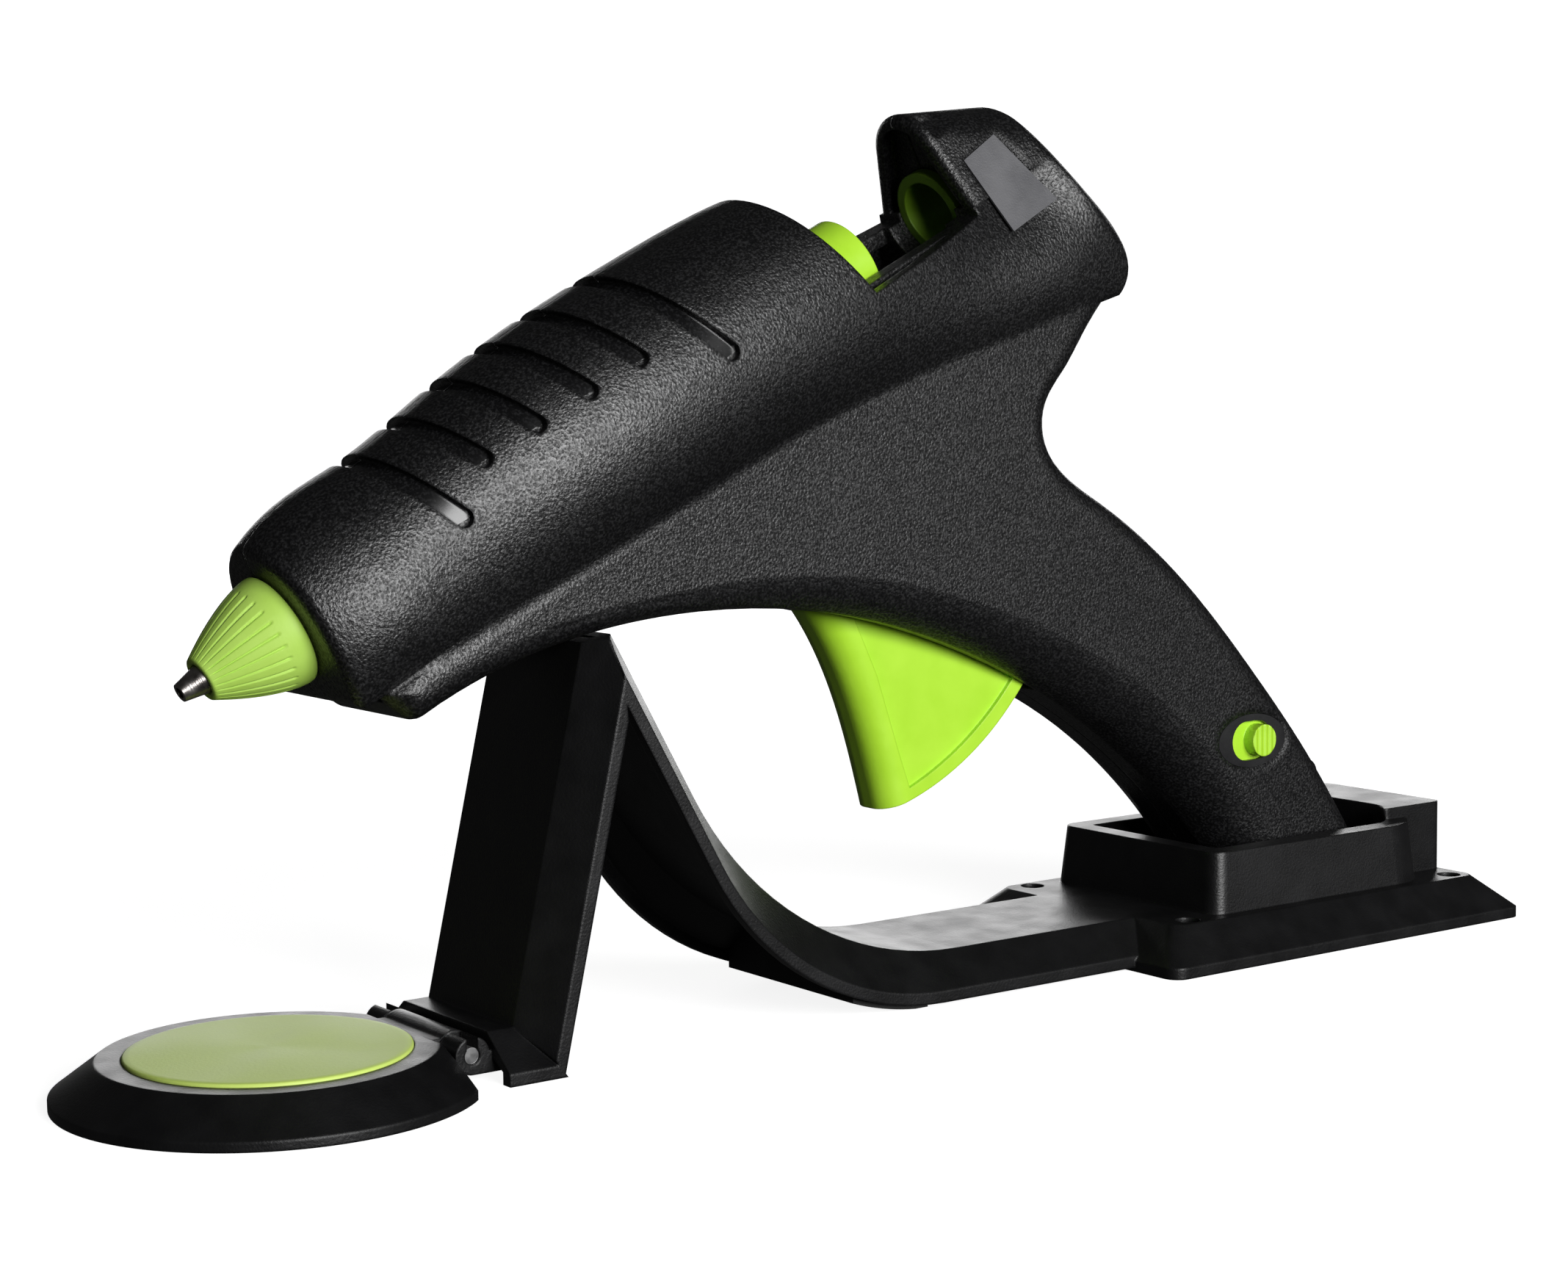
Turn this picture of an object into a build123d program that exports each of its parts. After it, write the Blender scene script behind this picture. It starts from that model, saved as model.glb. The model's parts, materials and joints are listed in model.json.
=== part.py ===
from build123d import *
from math import atan, atan2, cos, degrees, radians, sin, tan
import os

os.makedirs("parts", exist_ok=True)

# Hot-melt glue gun standing on its dock. Millimetres, +Z up, nozzle towards -X,
# origin on the table below the middle of the whole object.

# Clearances
running = 0.06
play = 0.15
gap = 0.3

# Stand: base, dock collar and rear box
base_front, base_rear = 50.0, 143.0
base_half = 31.0
base_top = 8.1
base_flare = 6.4
base_corner, inner_corner = 3.0, 1.5
rim_height = 2.0
rim_wall = 2.6
stand_wall = 2.2
cover_thick = 1.8
bench_hole_r = 2.3
bench_post_r = 4.0
bench_x, bench_y = 70.4, 43.0
bench_mid_x = 97.2
cover_screw_x, cover_screw_y = 40.0, 26.0
cover_screw_r, cover_head_r = 1.1, 2.4
collar_front, collar_rear = 68.2, 129.0
collar_half = 22.3
collar_top = 19.4
collar_draft = 1.0
collar_wall = 4.2
collar_front_corner, collar_rear_corner = 3.0, 12.0
box_front, box_rear = 120.0, 137.0
box_half = 15.5
box_top = 21.6
box_corner = 2.0
gland_z = 14.2
gland_r, gland_flange_r = 4.0, 5.2
gland_bore_r = 2.6
gland_out = 6.0

# Stand: channel of rail, arm, strut and foot
web_half = 13.5
rim_half = 20.5
rail_end_x = base_front + base_flare + 1.0
rail_lift = 0.8
web_bend_x, web_bend_r = 14.0, 62.0
rim_bend_x, rim_bend_r = 6.0, 54.0
arm_angle = 61.0
arm_reach_z = 76.0
strut_lean = 13.25
strut_depth = 6.8
strut_x, strut_z = -75.0, 7.5
strut_length = 90.0
foot_front = -79.6
foot_length = 16.0
ankle_lean = 38.0
mitre_x, mitre_z = -57.1, 57.1
mitre_lean = 5.3
rest_gap = 0.4
rubber_front, rubber_rear = -12.0, 4.0

# Drip tray and its hinge
tray_x = -110.0
tray_r = 33.0
tray_ring_r = 26.0
tray_rim = 1.5
tray_top = 6.6
tray_wall = 2.0
tray_end_x = -87.0
pad_r = 22.0
pad_top = 7.3
pad_seat = 5.4
hinge_x, hinge_z = -83.0, 4.4
knuckle_r = 3.0
hinge_pin_r = 1.3
tab_half = 9.2
clip_in, clip_out = 9.6, 15.0
clip_mouth = 2.0

# Gun: start and tilt of the housing's axis, drop of the stick's axis below it, and housing sizes
axis_x, axis_z = -123.5, 63.0
tilt = 27.0
stick_drop = 0.9
house_wall = 2.4
slab_half = 14.5
slab_edge_r = 4.0
slab_corner_r = 3.0
# Wide rounding of the handle's lower edges: radius, how far it bites past each face, and its run in the side view
grip_r, edge_bite = 11.5, 0.15
grip_run = [(-66.0, 60.5), (-36.0, 64.9), (-8.0, 64.6), (20.0, 57.9), (51.4, 43.4), (70.3, 28.7), (86.0, 10.2)]
nose_station, nose_edge_r = 19.5, 2.0
nose_hole_r = 8.0
butt_z = 10.2
chin = (-90.0, 56.2)
butt_front, butt_rear = (86.0, butt_z), (119.3, butt_z)
underside = [chin, (-66.0, 66.0), (-36.0, 69.9), (-8.0, 67.6), (20.5, 59.2), (51.4, 43.4), (70.3, 28.7), butt_front]
handle_back = [
    butt_rear, (113.2, 19.5), (101.1, 36.0), (88.5, 50.5), (68.3, 70.8), (49.2, 84.5),
    (40.6, 90.0), (36.3, 95.6), (36.0, 100.6), (41.1, 108.1), (45.6, 114.4), (52.5, 122.4),
]

# Barrel sections: station along the axis, then half-width and height of points from the lower edge to the crest
barrel_sections = [
    (19.5, [(13.0, -14.5), (14.5, -6.1), (9.0, 9.4), (0, 12.6)]),
    (42.0, [(13.4, -14.8), (16.7, -6.2), (10.6, 12.2), (0, 16.1)]),
    (62.0, [(13.7, -15.0), (18.2, -6.3), (12.1, 14.4), (0, 18.8)]),
    (84.0, [(14.0, -15.2), (19.6, -6.4), (13.3, 15.8), (0, 20.6)]),
    (103.0, [(14.1, -15.8), (19.6, -6.6), (13.4, 15.9), (0, 20.8)]),
    (124.0, [(14.1, -17.6), (19.0, -7.4), (12.8, 15.2), (0, 19.9)]),
    (142.0, [(14.2, -20.5), (17.9, -8.6), (11.2, 13.3), (0, 17.3)]),
    (160.5, [(14.2, -24.0), (16.4, -10.1), (13.19, 0), (8.9, 10.0), (0, 17.0)]),
    (180.0, [(14.0, -27.5), (16.1, -11.0), (13.19, 0), (8.9, 10.0), (0, 17.0)]),
    (200.0, [(13.8, -31.0), (15.8, -12.0), (13.19, 0), (8.9, 10.0), (0, 17.0)]),
]
valley_r = 2.3
valley_places = [(73.4, -14.9, 14.07), (75.5, -16.7, 14.5), (149.2, -21.3, 14.5)]
room_end = 157.5
tail_front, tail_end = 160.5, 185.5
tail_half, tail_slope = 13.14, 0.43
tail_top, tail_fall = 18.3, 0.385
tail_pocket_wall, tail_pocket_depth = 2.8, 2.5
window_floor = -1.5
ledge_in, ledge_low = 9.7, -4.2
barrel_cut_top, barrel_cut_low = 123.7, 131.0
slot_width, slot_depth = 3.1, 1.3
slot_lean = 25.0
slots = [(47.2, 1.8), (55.0, 7.8), (65.2, 8.2), (75.4, 8.6), (85.7, 8.8), (100.3, 2.2)]
screw_places = [(-83.0, 64.5), (-52.0, 74.0), (30.0, 100.0), (65.5, 66.5), (100.5, 30.0), (44.0, 124.0)]
boss_r = 3.2
screw_r, screw_head_r = 1.15, 2.6
screw_seat_y = 9.0

# Stick path through the gun
stick_bore_r = 6.0
guide_r = 7.8
guide_front, guide_length = 161.0, 17.0
tail_bore_r = 6.4
chamber_r = 9.0
chamber_front, chamber_rear = 22.8, 70.0
chamber_bore_r = 5.8
spigot_r, spigot_rear = 7.0, 76.0
sleeve_r, sleeve_bore_r, sleeve_rear = 8.4, 5.7, 90.0
shank_r, shank_rear = 3.2, 31.0
nozzle_front = 0.7
ball_r, ball_station = 2.05, 25.6

# Trigger, feed carriage and slide switch
pivot = (-7.2, 85.8)
trigger_r = 55.4
trigger_half, trigger_web_half = 5.5, 4.7
tip_angle, trigger_rear_angle = -76.5, -37.0
trigger_front = [(-9.0, 67.5), (-1.5, 54.6), (3.0, 42.0)]
trigger_lip_r, trigger_rim = 4.4, 2.6
squeeze = 27.0
hub_r, hub_half = 6.0, 6.5
pivot_pin_r, pivot_boss_r = 2.5, 5.0
pivot_boss_y = 9.0
slot_half = 6.0
opening_start, opening_sweep = -100.0, 95.0
drive_station, drive_height = 119.0, -12.0
drive_pin_r = 1.8
carriage_r = 9.0
carriage_front, carriage_rear = 118.0, 140.0
lug_half = 3.0
lever_station, lever_height = 127.0, -11.8
lever_pin_r = 1.2
switch_x, switch_z = 85.3, 38.2
switch_travel = 2.5
bezel_wide, bezel_high, bezel_thick = 8.7, 5.1, 0.9
pocket_wide, pocket_high, pocket_depth = 15.8, 8.4, 0.9
plate_thick = 0.75
knob_r = 3.0
label_corners = [(-7.3, 2.3), (1.1, 3.4), (4.2, -12.0), (-7.3, -12.6)]
label_depth, label_gap = 0.5, 0.35

axis_dir = Vector(cos(radians(tilt)), 0, sin(radians(tilt)))
lift_dir = Vector(-sin(radians(tilt)), 0, cos(radians(tilt)))
house_start = Vector(axis_x, 0, axis_z)
stick_start = house_start - lift_dir * stick_drop
stick_axis = Axis(stick_start, axis_dir)
house_side = Plane(origin=house_start, x_dir=axis_dir, z_dir=(0, -1, 0))
stick_side = Plane(origin=stick_start, x_dir=axis_dir, z_dir=(0, -1, 0))


def on_house(station, height):
    """X and Z of a point at a station along the housing's axis and a height above it."""
    point = house_start + axis_dir * station + lift_dir * height
    return (point.X, point.Z)


def on_stick(station, height):
    """X and Z of a point at a station along the stick's axis and a height above it."""
    return on_house(station, height - stick_drop)


def across(station):
    """Plane square to the housing's axis, local x along Y and local y upwards."""
    return Plane(origin=house_start + axis_dir * station, x_dir=(0, 1, 0), z_dir=axis_dir)


def level(height):
    """Plane along the housing's axis at a height above it, local x is the station and local y is Y."""
    return Plane(origin=house_start + lift_dir * height, x_dir=axis_dir, z_dir=lift_dir)


def write(builder, name):
    """Label a finished piece and write its file."""
    builder.part.label = name
    export_step(builder.part, f"parts/{name}.step")


def cross_bar(place, radius, low, high):
    """Round bar along Y at an X and Z, from y = low to y = high."""
    with BuildPart() as bar:
        with BuildSketch(Plane.XZ.offset(-high)):
            with Locations(place):
                Circle(radius)
        extrude(amount=high - low)
    return bar.part


def side_plate(points, low, high, plane=Plane.XZ):
    """Flat plate with corners given in the side view, from y = low to y = high."""
    with BuildPart() as plate:
        with BuildSketch(plane.offset(-high)):
            with BuildLine():
                Polyline(*points, close=True)
            make_face()
        extrude(amount=high - low)
    return plate.part


def block(x, y, z):
    """Box between the given low and high limits."""
    with BuildPart() as box:
        with Locations((x[0], y[0], z[0])):
            Box(x[1] - x[0], y[1] - y[0], z[1] - z[0], align=Align.MIN)
    return box.part


def turned(points):
    """Solid turned about the stick's axis, with corners given as station and radius."""
    with BuildPart() as piece:
        with BuildSketch(stick_side):
            with BuildLine():
                Polyline(*points, close=True)
            make_face()
        revolve(axis=stick_axis)
    return piece.part


def span(side, near, far):
    """Low and high limit of a range on one side of the middle plane."""
    return sorted((side * near, side * far))


def about_pivot(radius, angle):
    """X and Z of a point at a radius and angle from the trigger's pivot."""
    return (pivot[0] + radius * cos(radians(angle)), pivot[1] + radius * sin(radians(angle)))


def ring(front, rear, inner, outer):
    """Plain ring about the stick's axis."""
    return turned([(front, inner), (rear, inner), (rear, outer), (front, outer)])


# Stand shell

def flared_block(front, rear, half, low, high, flare, corner):
    """Block whose four sides lean inwards by flare from low to high."""
    with BuildPart() as body:
        with BuildSketch(Plane.XY.offset(low)):
            with Locations(((front + rear) / 2, 0)):
                RectangleRounded(rear - front, 2 * half, corner)
        with BuildSketch(Plane.XY.offset(high)):
            with Locations(((front + rear) / 2, 0)):
                RectangleRounded(rear - front - 2 * flare, 2 * (half - flare), corner)
        loft()
    return body.part


def bent_points(flat_z, bend_x, bend_r):
    """Flat run, arc and rising run of one long edge of the arm."""
    turn = radians(arm_angle)
    mid = (bend_x - bend_r * sin(turn / 2), flat_z + bend_r * (1 - cos(turn / 2)))
    end = (bend_x - bend_r * sin(turn), flat_z + bend_r * (1 - cos(turn)))
    top = (end[0] - (arm_reach_z - end[1]) / tan(turn), arm_reach_z)
    return [(rail_end_x, flat_z), (bend_x, flat_z), mid, end, top]


def arm_outline(offset_y, upper, lower):
    """Side view of the arm between two long edges, at a distance from the middle plane."""
    with BuildSketch(Plane.XZ.offset(-offset_y)) as outline:
        with BuildLine():
            Line(upper[0], upper[1])
            ThreePointArc(upper[1], upper[2], upper[3])
            Line(upper[3], upper[4])
            Line(upper[4], lower[4])
            Line(lower[4], lower[3])
            ThreePointArc(lower[3], lower[2], lower[1])
            Line(lower[1], lower[0])
            Line(lower[0], upper[0])
        make_face()
    return outline.sketch


def arm_form(inset):
    """Rail and arm as a solid with flared sides, or the hollow inside it when inset."""
    past = 1.0 if inset else 0.0
    web = bent_points(base_top - inset, web_bend_x, web_bend_r + inset)
    rim = bent_points(rail_lift - past, rim_bend_x, rim_bend_r + past)
    band = bent_points(rail_lift + rim_height, rim_bend_x, rim_bend_r - rim_height)
    inner = web_half - 0.8 * inset
    outer = rim_half - inset
    with BuildPart() as form:
        extrude(arm_outline(-inner, web, rim), amount=2 * inner, dir=(0, 1, 0))
        for side in (-1, 1):
            loft([arm_outline(side * inner, web, rim), arm_outline(side * outer, band, rim)], ruled=True)
    return form.part


def channel_section(plane, depth, inset):
    """Channel outline: web on local y = 0, flared skirts and a straight rim at the given depth."""
    rim = depth - rim_height
    past = 1.0 if inset else 0.0
    with BuildSketch(plane) as section:
        with BuildLine():
            Polyline(
                (web_half - 0.8 * inset, inset),
                (rim_half - inset, rim),
                (rim_half - inset, depth + past),
                (-rim_half + inset, depth + past),
                (-rim_half + inset, rim),
                (-web_half + 0.8 * inset, inset),
                close=True,
            )
        make_face()
    return section.sketch


def leaning(x, z, lean, sideways):
    """Plane at an X and Z whose normal is turned by lean from +X towards +Z."""
    return Plane(origin=(x, 0, z), x_dir=(0, sideways, 0), z_dir=(cos(radians(lean)), 0, sin(radians(lean))))


mitre = leaning(mitre_x, mitre_z, mitre_lean, 1)
ankle = leaning(strut_x, strut_z, ankle_lean, 1)
foot_end = leaning(foot_front, strut_z, 0, -1)
strut_foot = leaning(strut_x - 12 * tan(radians(strut_lean)), strut_z - 12, 90 - strut_lean, -1)

with BuildPart() as arm:
    add(arm_form(0))
    add(arm_form(stand_wall), mode=Mode.SUBTRACT)
    split(bisect_by=mitre, keep=Keep.TOP)

with BuildPart() as strut:
    extrude(channel_section(strut_foot, strut_depth, 0), amount=strut_length)
    extrude(channel_section(strut_foot, strut_depth, stand_wall), amount=strut_length, mode=Mode.SUBTRACT)
    split(bisect_by=mitre, keep=Keep.BOTTOM)
    split(bisect_by=ankle, keep=Keep.TOP)
    split(bisect_by=Plane.XY, keep=Keep.TOP)

with BuildPart() as foot:
    extrude(channel_section(foot_end, strut_z, 0), amount=foot_length)
    extrude(channel_section(foot_end, strut_z, stand_wall), amount=foot_length, mode=Mode.SUBTRACT)
    split(bisect_by=ankle, keep=Keep.BOTTOM)

# Space that the gun's underside takes above the head of the arm
with BuildPart() as gun_room:
    with BuildSketch(Plane.XZ):
        with BuildLine():
            Spline(*[(x, z - rest_gap) for x, z in underside])
            Polyline(
                (butt_front[0], butt_z - rest_gap), (butt_front[0], 100), (chin[0], 100), (chin[0], chin[1] - rest_gap)
            )
        make_face()
    extrude(amount=rim_half + 5, both=True)
    add(block((chin[0], -40), (-60, 60), (0, 120)), mode=Mode.INTERSECT)


def collar_outline(z, inset):
    """Outline of the dock collar at a height, drawn in by inset."""
    draft = collar_draft * (z - base_top) / (collar_top - base_top)
    front, rear = collar_front + draft + inset, collar_rear - draft - inset
    half = collar_half - draft - inset
    with BuildSketch(Plane.XY.offset(z)) as outline:
        with BuildLine():
            Polyline((front, -half), (rear, -half), (rear, half), (front, half), close=True)
        make_face()
        fillet(outline.vertices().group_by(Axis.X)[0], max(collar_front_corner - inset, 1.0))
        fillet(outline.vertices().group_by(Axis.X)[-1], collar_rear_corner - inset)
    return outline.sketch


with BuildPart() as stand_frame:
    add(flared_block(base_front, base_rear, base_half, 0, rim_height, 0, base_corner))
    add(flared_block(base_front, base_rear, base_half, rim_height, base_top, base_flare, base_corner))
    add([arm.part, strut.part, foot.part])
    # Hollow underside of the base, with posts for the bench holes and the cover screws
    inner = (base_front + rim_wall, base_rear - rim_wall, base_half - rim_wall)
    add(flared_block(*inner, -1, rim_height, 0, inner_corner), mode=Mode.SUBTRACT)
    add(flared_block(*inner, rim_height, base_top - stand_wall, base_flare - 1.4, inner_corner), mode=Mode.SUBTRACT)
    post_height = base_top - cover_thick - 1
    with Locations((bench_mid_x, 0, cover_thick)):
        with GridLocations(bench_x, bench_y, 2, 2):
            Cylinder(bench_post_r, post_height, align=(Align.CENTER, Align.CENTER, Align.MIN))
        with GridLocations(cover_screw_x, cover_screw_y, 2, 2):
            Cylinder(3 * cover_screw_r, post_height, align=(Align.CENTER, Align.CENTER, Align.MIN))
    # Collar and rear box of the dock
    loft([collar_outline(base_top - 0.5, 0), collar_outline(collar_top, 0)])
    with BuildSketch(Plane.XY.offset(base_top - 0.5)):
        with Locations(((box_front + box_rear) / 2, 0)):
            RectangleRounded(box_rear - box_front, 2 * box_half, box_corner)
    extrude(amount=box_top - base_top + 0.5)
    loft([collar_outline(base_top, collar_wall), collar_outline(box_top + 2, collar_wall)], mode=Mode.SUBTRACT)
    wiring = block((collar_rear - 1, box_rear - stand_wall), (2 - box_half, box_half - 2), (4, box_top - stand_wall))
    add(wiring, mode=Mode.SUBTRACT)
    # Two ribs in the dock carry the butt
    for side in (-1, 1):
        add(block((90, 116), (side * 12 - 1, side * 12 + 1), (base_top - 0.5, butt_z - gap)))
    # Clips of the tray hinge, open at the top so that the pin snaps in
    for side in (-1, 1):
        near, far = span(side, clip_in, clip_out)
        add(cross_bar((hinge_x, hinge_z), knuckle_r, near, far))
        add(block((hinge_x, foot_front + stand_wall), (near, far), (hinge_z - knuckle_r, hinge_z + 0.5)))
        add(cross_bar((hinge_x, hinge_z), hinge_pin_r + running, near - 1, far + 1), mode=Mode.SUBTRACT)
        mouth = block((hinge_x - clip_mouth / 2, hinge_x + clip_mouth / 2), (near - 1, far + 1), (hinge_z, hinge_z + 5))
        add(mouth, mode=Mode.SUBTRACT)
    # Head of the arm, cut to the gun's underside
    add(gun_room.part, mode=Mode.SUBTRACT)
    # Bench holes, screw pilots, cord hole
    with Locations((bench_mid_x, 0, base_top)):
        with GridLocations(bench_x, bench_y, 2, 2):
            Hole(bench_hole_r, 2 * base_top)
    with Locations((bench_mid_x, 0, base_top - 1.6)):
        with GridLocations(cover_screw_x, cover_screw_y, 2, 2):
            Hole(cover_screw_r, base_top)
    with Locations(Plane((box_rear, 0, gland_z), x_dir=(0, 1, 0), z_dir=(1, 0, 0))):
        Hole(gland_r, 2 * stand_wall)
write(stand_frame, "stand_frame")

with BuildPart() as base_cover:
    edge = rim_wall + play
    add(flared_block(base_front + edge, base_rear - edge, base_half - edge, 0, cover_thick, 0, inner_corner))
    with Locations((bench_mid_x, 0, cover_thick)):
        with GridLocations(bench_x, bench_y, 2, 2):
            Hole(bench_hole_r, cover_thick)
        with GridLocations(cover_screw_x, cover_screw_y, 2, 2):
            Hole(cover_screw_r + play, cover_thick)
    with Locations((bench_mid_x, 0, 0)):
        with GridLocations(cover_screw_x, cover_screw_y, 2, 2):
            Cylinder(cover_head_r + play, 2.2, mode=Mode.SUBTRACT)
write(base_cover, "base_cover")

with BuildPart() as cover_screws:
    with Locations((bench_mid_x, 0, 0.2)):
        with GridLocations(cover_screw_x, cover_screw_y, 2, 2):
            Cylinder(cover_head_r, 0.9, align=(Align.CENTER, Align.CENTER, Align.MIN))
            Cylinder(cover_screw_r - 0.05, 5.5, align=(Align.CENTER, Align.CENTER, Align.MIN))
write(cover_screws, "cover_screws")

with BuildPart() as rubber_foot:
    add(arm_form(stand_wall))
    add(block((rubber_front, rubber_rear), (-30, 30), (0, 20)), mode=Mode.INTERSECT)
write(rubber_foot, "rubber_foot")

with BuildPart() as dock_terminal_block:
    add(block((92, 114), (-8, 8), (base_top, base_top + 1.3)))
write(dock_terminal_block, "dock_terminal_block")

with BuildPart() as dock_contacts:
    for side in (-1, 1):
        add(block((97, 109), (side * 3.5 - 1.5, side * 3.5 + 1.5), (base_top + 1.3, base_top + 1.7)))
write(dock_contacts, "dock_contacts")

with BuildPart() as cord_gland:
    gland_plane = Plane((box_rear, 0, gland_z), x_dir=(0, 1, 0), z_dir=(1, 0, 0))
    with BuildSketch(gland_plane.offset(-stand_wall - 0.6)):
        Circle(gland_r - 0.02)
    extrude(amount=stand_wall + 0.6)
    with BuildSketch(gland_plane):
        Circle(gland_flange_r)
    extrude(amount=1.5)
    with BuildSketch(gland_plane.offset(1.5)):
        Circle(gland_r)
    extrude(amount=gland_out - 1.5, taper=6)
    with Locations(gland_plane.offset(gland_out)):
        Hole(gland_bore_r, 2 * gland_out)
write(cord_gland, "cord_gland")

# Drip tray

with BuildPart() as drip_tray:
    with BuildSketch(Plane.XZ):
        with BuildLine():
            Polyline(
                (tray_x, 0), (tray_x + tray_r, 0), (tray_x + tray_r, tray_rim),
                (tray_x + tray_ring_r, tray_top), (tray_x, tray_top), close=True,
            )
        make_face()
    revolve(axis=Axis((tray_x, 0, 0), (0, 0, 1)))
    with Locations((tray_x, 0, tray_top)):
        Hole(pad_r + play, tray_top - pad_seat)
    with BuildSketch(Plane.XY):
        with Locations((tray_x, 0)):
            Circle(tray_r - tray_wall)
            split(bisect_by=Plane.YZ.offset(tray_end_x - tray_wall), keep=Keep.BOTTOM)
    extrude(amount=pad_seat - tray_wall, taper=40, mode=Mode.SUBTRACT)
    split(bisect_by=Plane.YZ.offset(tray_end_x), keep=Keep.BOTTOM)
    add(block((tray_end_x - 1, hinge_x), (-tab_half, tab_half), (hinge_z - 2, hinge_z + 2)))
    add(cross_bar((hinge_x, hinge_z), knuckle_r, -tab_half, tab_half))
    add(cross_bar((hinge_x, hinge_z), hinge_pin_r + 0.02, -clip_out, clip_out), mode=Mode.SUBTRACT)
write(drip_tray, "drip_tray")

with BuildPart() as drip_pad:
    with Locations((tray_x, 0, pad_seat)):
        Cylinder(pad_r, pad_top - pad_seat, align=(Align.CENTER, Align.CENTER, Align.MIN))
    fillet(drip_pad.edges().group_by(Axis.Z)[-1], 0.6)
write(drip_pad, "drip_pad")

with BuildPart() as hinge_pin:
    add(cross_bar((hinge_x, hinge_z), hinge_pin_r, -clip_out + 0.4, clip_out - 0.4))
write(hinge_pin, "hinge_pin")

# Gun housing

def shifted(points, distance):
    """Points moved square to the run through their neighbours."""
    moved = []
    for index, (x, z) in enumerate(points):
        before = points[max(index - 1, 0)]
        after = points[min(index + 1, len(points) - 1)]
        run = Vector(after[0] - before[0], after[1] - before[1]).normalized()
        moved.append((x - run.Y * distance, z + run.X * distance))
    return moved


def barrel_form(inset):
    """Barrel lofted through its sections, or the room inside it when inset."""
    drop = 1.5 if inset else 0.0
    with BuildPart() as form:
        for station, half in barrel_sections:
            start = max(station, nose_station + 1.1 * inset)
            across_top = [(-x, h) for x, h in half] + [(x, h) for x, h in half[-2::-1]]
            outline = shifted(across_top, -inset)
            low = half[0][1] - drop
            ends = (outline[0][0], low), (outline[-1][0], low)
            with BuildSketch(across(start)):
                with BuildLine():
                    Spline(ends[0], *outline[1:-1], ends[1])
                    Line(ends[1], ends[0])
                make_face()
        loft()
    return form.part


def slab_outline(low, back, top, corner_r):
    """Side view of the handle and of the slab below the barrel."""
    with BuildSketch(Plane.XZ) as outline:
        with BuildLine():
            Spline(*low)
            Line(low[-1], back[0])
            Spline(*back)
            Polyline(back[-1], *top, low[0])
        make_face()
        if corner_r:
            for corner in (low[0], low[-1], back[0]):
                fillet(outline.vertices().sort_by_distance(corner)[0], corner_r)
    return outline.sketch


# Rear end of the tail: height, rearmost station and half-width, each rounded to a half ellipse in plan
rear_sections = [
    (18.0, 171.0, 5.8), (12.0, 178.6, 8.4), (6.0, 182.8, 11.0), (0.0, 185.2, 13.6), (-8.0, 187.6, 17.0),
    (-14.0, 190.0, 17.0), (-20.0, 191.6, 16.6), (-24.5, 191.5, 15.8), (-27.0, 190.0, 15.0), (-28.4, 186.0, 14.6),
]
rear_depth = 0.5

with BuildPart() as rear_form:
    for height, rear, half in rear_sections:
        round_start = rear - rear_depth * half
        with BuildSketch(level(height)):
            with BuildLine():
                Polyline((round_start, half), (tail_front - 5, half), (tail_front - 5, -half), (round_start, -half))
                EllipticalCenterArc((round_start, 0), rear_depth * half, half, start_angle=-90, arc_size=180)
            make_face()
    loft()

with BuildPart() as behind_tail:
    with BuildSketch(house_side):
        with Locations((tail_front + 2, -45)):
            Rectangle(60, 45 + rear_sections[0][0], align=Align.MIN)
    extrude(amount=40, both=True)
    add(rear_form.part, mode=Mode.SUBTRACT)


def tail_outline(station, wall):
    """Section of the tail above the housing's axis: slanted sides under a round top, drawn in by a wall."""
    top = tail_top - tail_fall * (station - tail_front)
    turn = atan(1 / tail_slope)
    share = (1 - cos(turn)) / sin(turn)
    height = (top - share * tail_half) / (1 - share * tail_slope)
    half = tail_half - tail_slope * height
    with BuildSketch(across(station)) as outline:
        with BuildLine():
            ThreePointArc((half - wall, height), (0, top - wall), (wall - half, height))
            Polyline((wall - half, height), (wall - tail_half, 0), (tail_half - wall, 0), (half - wall, height))
        make_face()
    return outline.sketch


with BuildPart() as tail:
    loft([tail_outline(tail_front, 0), tail_outline(tail_end, 0)], ruled=True)
    front_edges = tail.faces().sort_by(stick_axis)[0].edges()
    fillet(front_edges.sort_by(Axis(house_start, lift_dir))[1:], 1.6)
    extrude(tail_outline(tail_front, tail_pocket_wall), amount=tail_pocket_depth, mode=Mode.SUBTRACT)

def edge_cut(run, half, radius):
    """Cutter that rounds both lower edges of the handle along a run in the side view."""
    with BuildPart() as cutter:
        with BuildLine() as path:
            Spline(*[(x, -half, z) for x, z in run])
        reach = radius - edge_bite
        with BuildSketch(Plane(path.line @ 0, x_dir=(0, 1, 0), z_dir=path.line % 0)):
            with BuildLine():
                RadiusArc((-edge_bite, reach), (reach, -edge_bite), -radius)
                Polyline((reach, -edge_bite), (reach, -4), (-4, -4), (-4, reach), (-edge_bite, reach))
            make_face()
        sweep(path=path.line)
        mirror(about=Plane.XZ)
    return cutter.part


with BuildPart() as slab:
    slab_top = [on_house(172, -13), on_house(30, -12.5), on_house(23.5, -14.0)]
    extrude(slab_outline(underside, handle_back, slab_top, slab_corner_r), amount=slab_half, both=True)
    fillet(slab.edges().group_by(Axis.Y)[0] + slab.edges().group_by(Axis.Y)[-1], slab_edge_r)
    add(edge_cut(grip_run, slab_half, grip_r), mode=Mode.SUBTRACT)

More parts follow.
